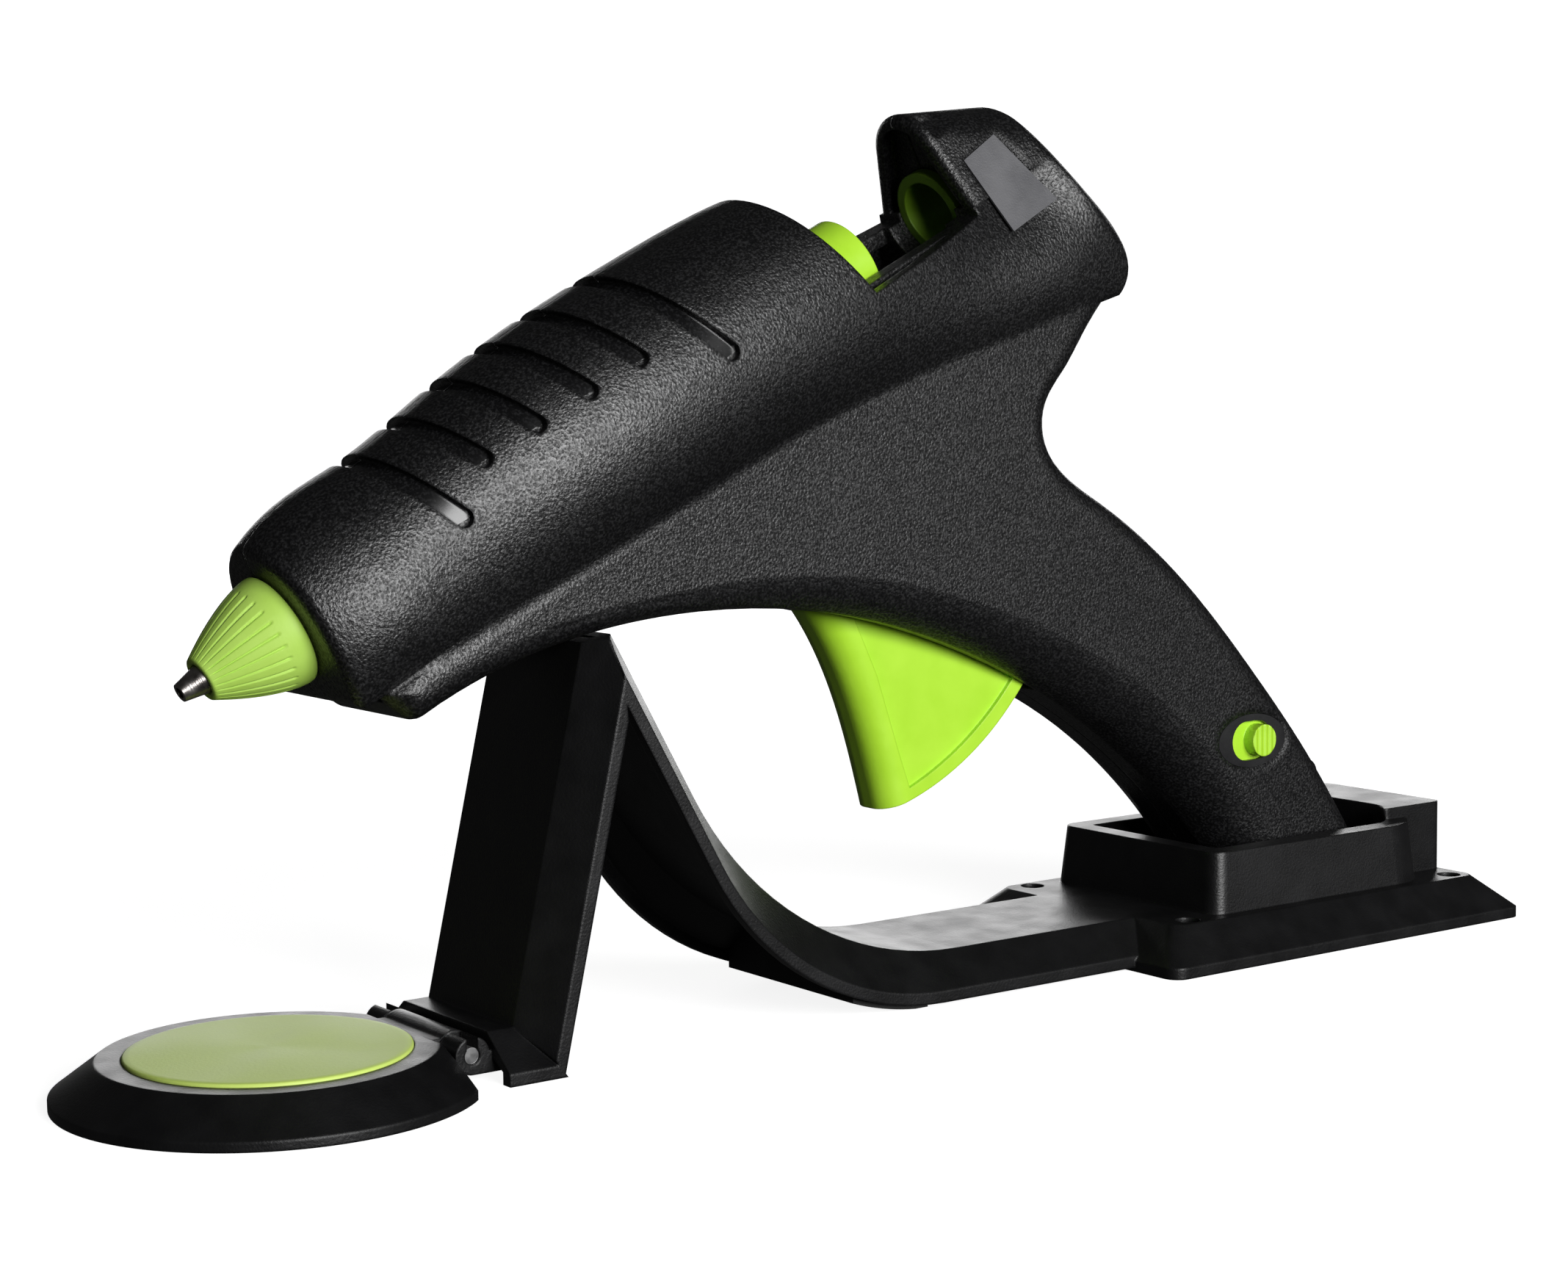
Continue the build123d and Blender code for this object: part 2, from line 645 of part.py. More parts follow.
with BuildPart() as slab_room:
    room_low = [(-86.0, 60.4), *shifted(underside, house_wall)[1:-1], (butt_front[0] + 1.2, butt_z + house_wall)]
    room_back = [(butt_rear[0] - 3.8, butt_z + house_wall), *shifted(handle_back, house_wall)[1:-1]]
    room_top = [on_house(166, -15.5), on_house(26, -13.5)]
    extrude(slab_outline(room_low, room_back, room_top, 0), amount=slab_half - house_wall, both=True)
    room_run = shifted(grip_run, house_wall)
    add(edge_cut(room_run, slab_half - house_wall, grip_r - house_wall), mode=Mode.SUBTRACT)

with BuildPart() as barrel_room:
    add(barrel_form(house_wall))
    split(bisect_by=across(room_end), keep=Keep.BOTTOM)

with BuildPart() as shell:
    add(barrel_form(0))
    fillet(shell.faces().sort_by(stick_axis)[0].edges(), nose_edge_r)
    feed_window = [
        (barrel_cut_top - 3.5, 40), (barrel_cut_top, 20), (barrel_cut_low, window_floor), (tail_front, window_floor),
        (tail_front, 0), (220, 0), (220, 40),
    ]
    add(side_plate(feed_window, -40, 40, house_side), mode=Mode.SUBTRACT)
    add(tail.part)
    add(behind_tail.part, mode=Mode.SUBTRACT)
    add(slab.part)
    # Soft valley between the barrel and the slab
    valley_edges = []
    for side in (-1, 1):
        for station, height, half in valley_places:
            x, z = on_house(station, height)
            valley_edges.append(shell.edges().sort_by_distance((x, side * half, z))[0])
    fillet(valley_edges, valley_r)
    add(barrel_room.part, mode=Mode.SUBTRACT)
    add(slab_room.part, mode=Mode.SUBTRACT)


# Grooves that lean over the barrel, each rounded at its lower ends
with BuildPart() as grooves:
    for station, low in slots:
        with BuildSketch(house_side):
            with Locations((station, low + slot_width / 2)):
                Circle(slot_width / 2)
                Rectangle(slot_width, 40, rotation=slot_lean, align=(Align.CENTER, Align.MIN))
        extrude(amount=30, both=True)
    add(barrel_form(slot_depth), mode=Mode.SUBTRACT)


def housing_half(side):
    """One half of the housing: -1 is the left side, 1 the right side."""
    with BuildPart() as half:
        add(shell.part)
        add(block((-200, 200), span(-side, 0, 60), (-20, 200)), mode=Mode.SUBTRACT)
        # Bosses for the screws and the trigger pin
        for place in screw_places:
            add(cross_bar(place, boss_r, *span(side, 0, slab_half - 1)))
        add(cross_bar(pivot, pivot_boss_r, *span(side, pivot_boss_y, slab_half - 1)))
        # Stick bore, guide seat and nose hole
        add(ring(room_end - 1, 230, 0, tail_bore_r), mode=Mode.SUBTRACT)
        add(ring(room_end - 1, guide_front + guide_length + 0.1, 0, guide_r + 0.05), mode=Mode.SUBTRACT)
        add(ring(nose_station - 5, chamber_front, 0, nose_hole_r), mode=Mode.SUBTRACT)
        # Ledge along the feed window
        ledge = [(barrel_cut_low - 3, ledge_low), (tail_front - 0.1, ledge_low), (tail_front - 0.1, window_floor)]
        add(side_plate([*ledge, (barrel_cut_low - 3, window_floor)], *span(side, ledge_in, tail_half), house_side))
        # Grooves over the barrel
        add(grooves.part, mode=Mode.SUBTRACT)
        # Opening for the trigger, a sector about its pivot
        reach = trigger_r + 2.5
        with BuildSketch(Plane.XZ):
            with BuildLine():
                CenterArc(pivot, reach, opening_start, opening_sweep)
                Polyline(
                    about_pivot(reach, opening_start + opening_sweep), pivot, about_pivot(reach, opening_start)
                )
            make_face()
        extrude(amount=slot_half, both=True, mode=Mode.SUBTRACT)
        # Trigger pin seat and opening for the contact block in the butt
        add(cross_bar(pivot, pivot_pin_r + 0.02, -12.4, 12.4), mode=Mode.SUBTRACT)
        add(block((90, 114), (-7, 7), (butt_z - 1, butt_z + 6)), mode=Mode.SUBTRACT)
        # Screw pilots on the left, clearance holes with sunk heads on the right
        for place in screw_places:
            if side < 0:
                add(cross_bar(place, screw_r + 0.02, -9, 0), mode=Mode.SUBTRACT)
            else:
                add(cross_bar(place, screw_r + 0.3, 0, slab_half), mode=Mode.SUBTRACT)
                add(cross_bar(place, screw_head_r + 0.2, screw_seat_y, slab_half + 5), mode=Mode.SUBTRACT)
    return half.part


switch_face = Plane((switch_x, -slab_half, switch_z), x_dir=(1, 0, 0), z_dir=(0, -1, 0))
tail_lean = degrees(atan(tail_slope))
label_side = Plane(
    origin=house_start + axis_dir * 172 + lift_dir * 5 + Vector(0, 5 * tail_slope - tail_half, 0),
    x_dir=axis_dir,
    z_dir=Vector(0, -1, 0) * cos(radians(tail_lean)) + lift_dir * sin(radians(tail_lean)),
)


def label_outline(plane, margin):
    """Four-cornered outline of the label plate on the side of the tail."""
    with BuildSketch(plane) as outline:
        with BuildLine():
            Polyline(*label_corners, close=True)
        make_face()
        if margin:
            offset(amount=margin, kind=Kind.INTERSECTION)
    return outline.sketch


with BuildPart() as housing_left:
    add(housing_half(-1))
    # Stepped pocket of the slide switch and the slot for its stem
    with BuildSketch(switch_face):
        Ellipse(bezel_wide, bezel_high)
    extrude(amount=-bezel_thick, mode=Mode.SUBTRACT)
    with BuildSketch(switch_face.offset(-bezel_thick)):
        SlotOverall(pocket_wide, pocket_high)
    extrude(amount=-pocket_depth, mode=Mode.SUBTRACT)
    with BuildSketch(switch_face):
        Rectangle(6.4, 3.6)
    extrude(amount=-4, mode=Mode.SUBTRACT)
    extrude(label_outline(label_side, label_gap), amount=-label_depth, mode=Mode.SUBTRACT)
write(housing_left, "housing_left")

with BuildPart() as housing_right:
    add(housing_half(1))
write(housing_right, "housing_right")

with BuildPart() as housing_screws:
    for place in screw_places:
        add(cross_bar(place, screw_head_r, screw_seat_y, screw_seat_y + 2))
        add(cross_bar(place, screw_r, -8.5, screw_seat_y))
write(housing_screws, "housing_screws")

with BuildPart() as label_plate:
    extrude(label_outline(label_side.offset(-label_depth), 0), amount=label_depth - 0.1)
write(label_plate, "label_plate")

with BuildPart() as trigger_pin:
    add(cross_bar(pivot, pivot_pin_r, -12.3, 12.3))
write(trigger_pin, "trigger_pin")

with BuildPart() as return_spring:
    add(cross_bar(pivot, pivot_pin_r + 1.6, hub_half + gap, pivot_boss_y - gap))
    add(cross_bar(pivot, pivot_pin_r + 0.4, hub_half, pivot_boss_y), mode=Mode.SUBTRACT)
write(return_spring, "return_spring")

# Stick path: nozzle, chamber, sleeve, guide

with BuildPart() as nozzle_tip:
    add(turned([
        (nozzle_front, 0.9), (nozzle_front, 1.5), (4.6, 2.35), (7.5, 2.5), (14, 6.2), (19, 6.2), (19, shank_r),
        (shank_rear, shank_r), (shank_rear, ball_r + play), (ball_station - 1.6, ball_r + play),
        (ball_station - 1.6, 1.5), (8, 1.5), (3, 0.9),
    ]))
write(nozzle_tip, "nozzle_tip")

with BuildPart() as check_ball:
    with Locations(stick_start + axis_dir * ball_station):
        Sphere(ball_r)
write(check_ball, "check_ball")

with BuildPart() as check_spring:
    add(ring(ball_station + ball_r, shank_rear, 1.2, ball_r - 0.1))
write(check_spring, "check_spring")

with BuildPart() as nozzle_boot:
    with BuildSketch(stick_side):
        with BuildLine():
            Spline((4.6, 3.6), (8.5, 5.9), (13.5, 8.0), (18.6, 9.2))
            Polyline(
                (18.6, 9.2), (19.3, 8.9), (19.3, nose_hole_r - play), (22.4, nose_hole_r - play), (22.4, 6.3),
                (14, 6.3), (7.5, 2.6), (4.6, 2.45), (4.6, 3.6),
            )
        make_face()
    revolve(axis=stick_axis)
write(nozzle_boot, "nozzle_boot")

with BuildPart() as heating_chamber:
    add(turned([
        (chamber_front, shank_r + 0.02), (chamber_front, chamber_r), (chamber_rear, chamber_r), (chamber_rear, spigot_r),
        (spigot_rear, spigot_r), (spigot_rear, chamber_bore_r), (38, chamber_bore_r), (shank_rear + 0.5, shank_r + 0.02),
    ]))
write(heating_chamber, "heating_chamber")

with BuildPart() as heater_element:
    add(side_plate([(46, -11.8), (64, -11.8), (64, -9.1), (46, -9.1)], -4, 4, stick_side))
write(heater_element, "heater_element")

with BuildPart() as front_support:
    add(ring(25, 29, chamber_r + 0.1, 10.0))
write(front_support, "front_support")

with BuildPart() as rear_support:
    add(ring(66, 69, chamber_r + 0.1, 14.5))
write(rear_support, "rear_support")

with BuildPart() as heat_shield:
    with BuildSketch(house_side):
        with BuildLine():
            Spline((41, 12.0), (62, 15.3), (84, 16.9), (112, 16.9))
            Line((112, 16.9), (112, 16.1))
            Spline((112, 16.1), (84, 16.1), (62, 14.5), (41, 11.2))
            Line((41, 11.2), (41, 12.0))
        make_face()
    revolve(axis=Axis(house_start, axis_dir))
    add(side_plate([(30, -30), (130, -30), (130, -2), (30, -2)], -30, 30, house_side), mode=Mode.SUBTRACT)
write(heat_shield, "heat_shield")

with BuildPart() as inlet_sleeve:
    add(turned([
        (chamber_rear + play, spigot_r + 0.05), (chamber_rear + play, sleeve_r), (sleeve_rear, sleeve_r),
        (sleeve_rear, sleeve_bore_r), (spigot_rear + play, sleeve_bore_r), (spigot_rear + play, spigot_r + 0.05),
    ]))
write(inlet_sleeve, "inlet_sleeve")

with BuildPart() as sleeve_clip:
    add(ring(72, 75, sleeve_r + 0.05, sleeve_r + 1.0))
write(sleeve_clip, "sleeve_clip")

with BuildPart() as stick_guide:
    add(ring(guide_front, guide_front + guide_length, stick_bore_r, guide_r))
write(stick_guide, "stick_guide")

# Trigger and feed carriage

drive_rest = on_stick(drive_station, drive_height)
drive_angle = degrees(atan2(drive_rest[1] - pivot[1], drive_rest[0] - pivot[0]))
fork_plane = Plane(
    origin=(pivot[0], 0, pivot[1]),
    x_dir=(cos(radians(drive_angle)), 0, sin(radians(drive_angle))),
    z_dir=(0, -1, 0),
)
mid_angle = (tip_angle + trigger_rear_angle) / 2


def trigger_face(inner_r):
    """Side view of the finger plate: finger edge, arc about the pivot and rear edge."""
    with BuildSketch(Plane.XZ) as face:
        with BuildLine():
            Spline(*trigger_front, about_pivot(trigger_r, tip_angle))
            ThreePointArc(
                about_pivot(trigger_r, tip_angle),
                about_pivot(trigger_r, mid_angle),
                about_pivot(trigger_r, trigger_rear_angle),
            )
            Line(about_pivot(trigger_r, trigger_rear_angle), about_pivot(inner_r, trigger_rear_angle + 30))
            Line(about_pivot(inner_r, trigger_rear_angle + 30), about_pivot(inner_r, 200))
            Line(about_pivot(inner_r, 200), trigger_front[0])
        make_face()
    return face.sketch


with BuildPart() as trigger:
    extrude(trigger_face(hub_r - 1), amount=trigger_half, both=True)
    lip_x, lip_z = trigger_front[2]
    lip_edges = [trigger.edges().sort_by_distance((lip_x, side * trigger_half, lip_z))[0] for side in (-1, 1)]
    fillet(lip_edges, trigger_lip_r)
    # Flat sides lie lower than the finger lip and the rim along the arc
    recess_low = (10.6, 35.6)
    recess_r = trigger_r - trigger_rim
    with BuildSketch(Plane.XZ) as recess:
        with BuildLine():
            Polyline((-3.0, 70.0), (3.6, 56.0), (8.3, 42.0), recess_low)
            ThreePointArc(recess_low, about_pivot(recess_r, mid_angle), about_pivot(recess_r, trigger_rear_angle - 1))
            Polyline(about_pivot(recess_r, trigger_rear_angle - 1), about_pivot(16, trigger_rear_angle), (-3.0, 70.0))
        make_face()
    for side in (-1, 1):
        near, far = span(side, trigger_web_half, trigger_half + 1)
        extrude(Plane.XZ.offset(-far) * recess.sketch_local, amount=far - near, mode=Mode.SUBTRACT)
    add(cross_bar(pivot, hub_r, -hub_half, hub_half))
    # Fork that drives the carriage pin
    for side in (-1, 1):
        near, far = span(side, lug_half + 0.4, trigger_half - 0.1)
        with BuildSketch(fork_plane.offset(-far)):
            with Locations((hub_r - 2, 0)):
                Rectangle(24.5 - hub_r, 8.4, align=(Align.MIN, Align.CENTER))
            with Locations((16.6, 0)):
                Rectangle(12, 2 * drive_pin_r + 0.4, align=(Align.MIN, Align.CENTER), mode=Mode.SUBTRACT)
        extrude(amount=far - near)
    add(cross_bar(pivot, pivot_pin_r + running, -hub_half - 1, hub_half + 1), mode=Mode.SUBTRACT)
write(trigger, "trigger")

with BuildPart() as feed_carriage:
    add(ring(carriage_front, carriage_rear, stick_bore_r, carriage_r))
    lug = [(114.5, -7.5), (130, -7.5), (130, -14.5), (114.5, -15)]
    add(side_plate(lug, -lug_half, lug_half, stick_side))
    add(ring(100, 150, 0, stick_bore_r), mode=Mode.SUBTRACT)
    tooth_room = [(123.4, -10.2), (130.5, -10.2), (130.5, -3), (123.4, -3)]
    add(side_plate(tooth_room, -lug_half - 2, lug_half + 2, stick_side), mode=Mode.SUBTRACT)
    add(cross_bar(drive_rest, drive_pin_r + 0.02, -10, 10), mode=Mode.SUBTRACT)
    add(cross_bar(on_stick(lever_station, lever_height), lever_pin_r + 0.02, -10, 10), mode=Mode.SUBTRACT)
write(feed_carriage, "feed_carriage")

with BuildPart() as drive_pin:
    add(cross_bar(drive_rest, drive_pin_r, -5.8, 5.8))
write(drive_pin, "drive_pin")

with BuildPart() as grip_lever:
    bar = [(123.8, -9.9), (129.8, -9.9), (129.8, -8.6), (128.4, -6.3), (125.2, -6.3), (123.8, -8.6)]
    add(side_plate(bar, -lug_half, lug_half, stick_side))
    cheek = [(123.8, -9.9), (129.8, -9.9), (129.8, -13.2), (124.6, -13.2)]
    bridge = [(124, -9.9), (129.6, -9.9), (129.6, -8.8), (124, -8.8)]
    for side in (-1, 1):
        add(side_plate(cheek, *span(side, lug_half + 0.1, lug_half + 1.3), stick_side))
        add(side_plate(bridge, *span(side, lug_half - 0.5, lug_half + 1.3), stick_side))
    lever_place = on_stick(lever_station, lever_height)
    add(cross_bar(lever_place, lever_pin_r + running, -10, 10), mode=Mode.SUBTRACT)
write(grip_lever, "grip_lever")

with BuildPart() as lever_pin:
    add(cross_bar(on_stick(lever_station, lever_height), lever_pin_r, -4.6, 4.6))
write(lever_pin, "lever_pin")

# Slide switch and power path

with BuildPart() as switch_bezel:
    with BuildSketch(switch_face.offset(-bezel_thick)):
        Ellipse(bezel_wide - 0.08, bezel_high - 0.08)
        SlotOverall(10.2, 7.4, mode=Mode.SUBTRACT)
    extrude(amount=bezel_thick)
write(switch_bezel, "switch_bezel")

with BuildPart() as switch_slider:
    rest = switch_travel / 2
    with BuildSketch(switch_face.offset(-bezel_thick - 0.08 - plate_thick)):
        with Locations((rest, 0)):
            SlotOverall(pocket_wide - switch_travel - 0.2, pocket_high - 0.3)
    extrude(amount=plate_thick)
    with BuildSketch(switch_face.offset(-bezel_thick - 0.2)):
        with Locations((rest + 0.5, 0)):
            Circle(knob_r)
    extrude(amount=bezel_thick + 1.7)
    with BuildSketch(switch_face.offset(-bezel_thick - 0.2)):
        with Locations((rest, 0)):
            Rectangle(3.0, 3.0)
    extrude(amount=-2.2)
write(switch_slider, "switch_slider")

with BuildPart() as switch_body:
    add(block((switch_x - 7.5, switch_x + 7.5), (-slab_half + 3.6, -3), (switch_z - 4.2, switch_z + 4.2)))
write(switch_body, "switch_body")

with BuildPart() as handle_contact_block:
    add(block((90.2, 113.8), (-6.8, 6.8), (butt_z + 0.3, butt_z + 5.8)))
write(handle_contact_block, "handle_contact_block")

with BuildPart() as handle_contacts:
    for side in (-1, 1):
        add(block((96, 110), (side * 3.5 - 2, side * 3.5 + 2), (butt_z, butt_z + 0.3)))
write(handle_contacts, "handle_contacts")

wire_r, wire_y = 0.9, 8.8
with BuildPart() as power_wires:
    for side in (-1, 1):
        route = [
            (95, side * 4, butt_z + 5.9), (95, side * 4, 23), (78, side * wire_y, 30), (66, side * wire_y, 46),
            (48, side * wire_y, 74), (22, side * wire_y, 96), (-12, side * wire_y, 98), (-44, side * wire_y, 84),
            (-60, side * 6.5, 77.5),
        ]
        with BuildLine() as path:
            FilletPolyline(*route, radius=5)
        with BuildSketch(Plane(origin=path.line @ 0, z_dir=path.line % 0)):
            Circle(wire_r)
        sweep(path=path.line)
write(power_wires, "power_wires")
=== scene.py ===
"""Look of a glue gun docked on its stand: materials, nozzle boot, drip pad, camera, floor and light."""

import json
from math import cos, pi, radians, sin, tan

import bmesh
import bpy
from mathutils import Matrix, Vector


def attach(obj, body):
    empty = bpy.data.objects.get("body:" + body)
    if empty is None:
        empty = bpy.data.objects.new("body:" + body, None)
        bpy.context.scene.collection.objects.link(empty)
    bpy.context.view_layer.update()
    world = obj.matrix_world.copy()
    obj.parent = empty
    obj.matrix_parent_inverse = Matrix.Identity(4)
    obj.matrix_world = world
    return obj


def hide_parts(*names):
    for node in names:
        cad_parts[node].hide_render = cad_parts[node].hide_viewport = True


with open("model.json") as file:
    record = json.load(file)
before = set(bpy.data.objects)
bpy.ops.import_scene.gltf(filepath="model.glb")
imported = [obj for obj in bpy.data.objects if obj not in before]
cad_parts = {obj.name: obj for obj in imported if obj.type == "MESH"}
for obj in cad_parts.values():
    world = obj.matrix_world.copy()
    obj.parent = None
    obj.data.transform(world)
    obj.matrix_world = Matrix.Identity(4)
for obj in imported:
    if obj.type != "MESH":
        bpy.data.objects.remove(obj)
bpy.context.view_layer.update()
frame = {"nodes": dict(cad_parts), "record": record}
nodes = frame["nodes"]

# The frame is that of the CAD: nozzle towards -X, +Z up. Named sizes and places are in millimetres,
# and MM turns them into the scene's metres.
MM = 0.001
LENGTHWISE = Vector((1.0, 0.0, 0.0))
ACROSS = Vector((0.0, 1.0, 0.0))
ORIGIN = Vector((0.0, 0.0, 0.0))

# Gun: tilt of its axis, the direction square to it, and where the axes of the housing and the stick start
TILT = radians(27.0)
AXIS = Vector((cos(TILT), 0.0, sin(TILT)))
LIFT = Vector((-sin(TILT), 0.0, cos(TILT)))
HOUSE_START = Vector((-123.5, 0.0, 63.0))
STICK_DROP = 0.9
STICK_START = HOUSE_START - LIFT * STICK_DROP


# Shader nodes

EDGE_SAMPLES = 6
SLOW_DETAIL, FINE_DETAIL = 3.0, 2.0


def tree_of(name):
    """A new material with a shader and an output, and its node tree."""
    material = bpy.data.materials.new(name)
    material.use_nodes = True
    tree = material.node_tree
    tree.nodes.clear()
    output = tree.nodes.new("ShaderNodeOutputMaterial")
    shader = tree.nodes.new("ShaderNodeBsdfPrincipled")
    tree.links.new(shader.outputs["BSDF"], output.inputs["Surface"])
    return material, tree, shader


def noise_in(tree, size, detail):
    """Noise whose cells are about size millimetres across, fixed to the piece."""
    place = tree.nodes.new("ShaderNodeTexCoord")
    noise = tree.nodes.new("ShaderNodeTexNoise")
    noise.inputs["Scale"].default_value = 1.0 / (size * MM)
    noise.inputs["Detail"].default_value = detail
    tree.links.new(place.outputs["Object"], noise.inputs["Vector"])
    return noise.outputs["Fac"]


def spread(tree, value, low, high, start=0.3, stop=0.7):
    """Value from start to stop mapped to a range."""
    ramp = tree.nodes.new("ShaderNodeMapRange")
    ramp.inputs["From Min"].default_value = start
    ramp.inputs["From Max"].default_value = stop
    ramp.inputs["To Min"].default_value = low
    ramp.inputs["To Max"].default_value = high
    tree.links.new(value, ramp.inputs["Value"])
    return ramp.outputs["Result"]


def colours(tree, value, dark, light, start=0.3, stop=0.7):
    """Value from start to stop mapped from a dark to a light colour."""
    ramp = tree.nodes.new("ShaderNodeValToRGB")
    for element, position, colour in zip(ramp.color_ramp.elements, (start, stop), (dark, light)):
        element.position = position
        element.color = (*colour, 1.0)
    tree.links.new(value, ramp.inputs["Fac"])
    return ramp.outputs["Color"]


def bump(tree, height, depth, below=None):
    """Relief, depth millimetres high; below is the normal to build on."""
    node = tree.nodes.new("ShaderNodeBump")
    node.inputs["Strength"].default_value = 1.0
    node.inputs["Distance"].default_value = depth * MM
    tree.links.new(height, node.inputs["Height"])
    if below is not None:
        tree.links.new(below, node.inputs["Normal"])
    return node.outputs["Normal"]


def soft_edges(tree, radius):
    """Node whose normal rounds edges and corners by a radius in millimetres."""
    node = tree.nodes.new("ShaderNodeBevel")
    node.samples = EDGE_SAMPLES
    node.inputs["Radius"].default_value = radius * MM
    return node


def combine(tree, operation, *values):
    """Math node over sockets and numbers."""
    node = tree.nodes.new("ShaderNodeMath")
    node.operation = operation
    for socket, value in zip(node.inputs, values):
        if isinstance(value, (int, float)):
            socket.default_value = value
        else:
            tree.links.new(value, socket)
    return node.outputs["Value"]


def along(tree, direction, start=ORIGIN):
    """Distance of a surface point from a start along a direction, in millimetres."""
    place = tree.nodes.new("ShaderNodeTexCoord")
    dot = tree.nodes.new("ShaderNodeVectorMath")
    dot.operation = "DOT_PRODUCT"
    dot.inputs[1].default_value = direction / MM
    tree.links.new(place.outputs["Object"], dot.inputs[0])
    return combine(tree, "SUBTRACT", dot.outputs["Value"], direction.dot(start))


def shaded(tree, colour, factor):
    """Colour multiplied by a factor."""
    node = tree.nodes.new("ShaderNodeVectorMath")
    node.operation = "SCALE"
    tree.links.new(colour, node.inputs[0])
    tree.links.new(factor, node.inputs["Scale"])
    return node.outputs["Vector"]


# Housing plastic

# Grooves over the barrel: station and height of each lower end, lean, half-width and end radius
BARREL_GROOVES = [(47.2, 1.8), (55.0, 7.8), (65.2, 8.2), (75.4, 8.6), (85.7, 8.8), (100.3, 2.2)]
BARREL_GROOVE_LEAN = radians(25.0)
BARREL_GROOVE_HALF = 1.66
BARREL_GROOVE_END_R = 1.55
BARREL_GROOVE_ROUGH, BARREL_GROOVE_SPECULAR = 0.23, 0.5

# Eroded grain: size, depth, tones and glints, each with the stretch of the noise that it spans; the lighter
# flecks in the tone are partly grain and partly painted glints
HOUSING_MOTTLE, HOUSING_GRAIN, HOUSING_GRAIN_DEPTH = 9.0, 0.45, 0.14
HOUSING_DARK, HOUSING_FLECK_AND_GLINT, HOUSING_TONE_SPAN = (0.0032, 0.0032, 0.0035), (0.017, 0.017, 0.018), (0.48, 0.72)
HOUSING_GLINTS, HOUSING_GLINT_SPAN = (0.28, 1.0), (0.36, 0.66)
HOUSING_ROUGH = (0.36, 0.41)

# Seam on the middle plane: where it starts and stops to rise, its depth and the share of colour left in it
SEAM_RISE, SEAM_DEPTH, SEAM_TONE = (0.05, 0.26), 0.12, 0.25

# Soft edges: radius on the barrel and on the tail, and the stations between which it changes
HOUSING_EDGE, TAIL_EDGE, TAIL_STATIONS = 0.9, 2.6, (163, 168)


def groove_mask(tree):
    """1 on the floors of the grooves over the barrel, 0 elsewhere."""
    lean = tan(BARREL_GROOVE_LEAN)
    station = along(tree, AXIS, HOUSE_START)
    height = along(tree, LIFT, HOUSE_START)
    slant = combine(tree, "ADD", station, combine(tree, "MULTIPLY", height, lean))
    mask = None
    for end, low in BARREL_GROOVES:
        middle = end + (low + BARREL_GROOVE_END_R) * lean
        band = combine(tree, "COMPARE", slant, middle, BARREL_GROOVE_HALF)
        above = combine(tree, "GREATER_THAN", height, low + BARREL_GROOVE_END_R / 2)
        inside = combine(tree, "MULTIPLY", band, above)
        mask = inside if mask is None else combine(tree, "MAXIMUM", mask, inside)
    return mask


def housing_plastic():
    """Black plastic with a coarse eroded grain whose lighter flecks are partly painted glints, smooth groove
    floors and a fine seam on the middle plane.
    """
    material, tree, shader = tree_of("housing_plastic")
    slow = noise_in(tree, HOUSING_MOTTLE, SLOW_DETAIL)
    fine = noise_in(tree, HOUSING_GRAIN, FINE_DETAIL)
    groove = groove_mask(tree)
    off_groove = combine(tree, "SUBTRACT", 1.0, groove)
    seam = spread(tree, combine(tree, "ABSOLUTE", along(tree, ACROSS)), 0.0, 1.0, *SEAM_RISE)

    # Base colour: dark plastic with lighter flecks on the grain, partly real grain tone and partly painted
    # glints; darker along the seam
    tone = colours(tree, fine, HOUSING_DARK, HOUSING_FLECK_AND_GLINT, *HOUSING_TONE_SPAN)
    tone = shaded(tree, tone, spread(tree, seam, SEAM_TONE, 1.0, 0.0, 1.0))
    tree.links.new(tone, shader.inputs["Base Color"])

    rough = combine(tree, "MULTIPLY", spread(tree, slow, *HOUSING_ROUGH), off_groove)
    rough = combine(tree, "ADD", rough, combine(tree, "MULTIPLY", groove, BARREL_GROOVE_ROUGH))
    tree.links.new(rough, shader.inputs["Roughness"])

    gloss = combine(tree, "MULTIPLY", spread(tree, fine, *HOUSING_GLINTS, *HOUSING_GLINT_SPAN), off_groove)
    gloss = combine(tree, "ADD", gloss, combine(tree, "MULTIPLY", groove, BARREL_GROOVE_SPECULAR))
    tree.links.new(gloss, shader.inputs["Specular IOR Level"])

    edges = soft_edges(tree, HOUSING_EDGE)
    station = along(tree, AXIS, HOUSE_START)
    radius = spread(tree, station, HOUSING_EDGE * MM, TAIL_EDGE * MM, *TAIL_STATIONS)
    tree.links.new(radius, edges.inputs["Radius"])
    relief = bump(tree, seam, SEAM_DEPTH, edges.outputs["Normal"])
    relief = bump(tree, combine(tree, "MULTIPLY", fine, off_groove), HOUSING_GRAIN_DEPTH, relief)
    tree.links.new(relief, shader.inputs["Normal"])
    return material


# Green plastic of trigger and switch

GREEN_DARK, GREEN_LIGHT, GREEN_ROUGH = (0.44, 0.80, 0.035), (0.49, 0.86, 0.045), (0.30, 0.38)
GREEN_MOTTLE, GREEN_EDGE = 6.0, 0.4

# Ribs on the switch knob: pitch, depth and the Y beyond which they start
RIB_PITCH, RIB_DEPTH, RIB_START = 1.3, 0.12, -14.4


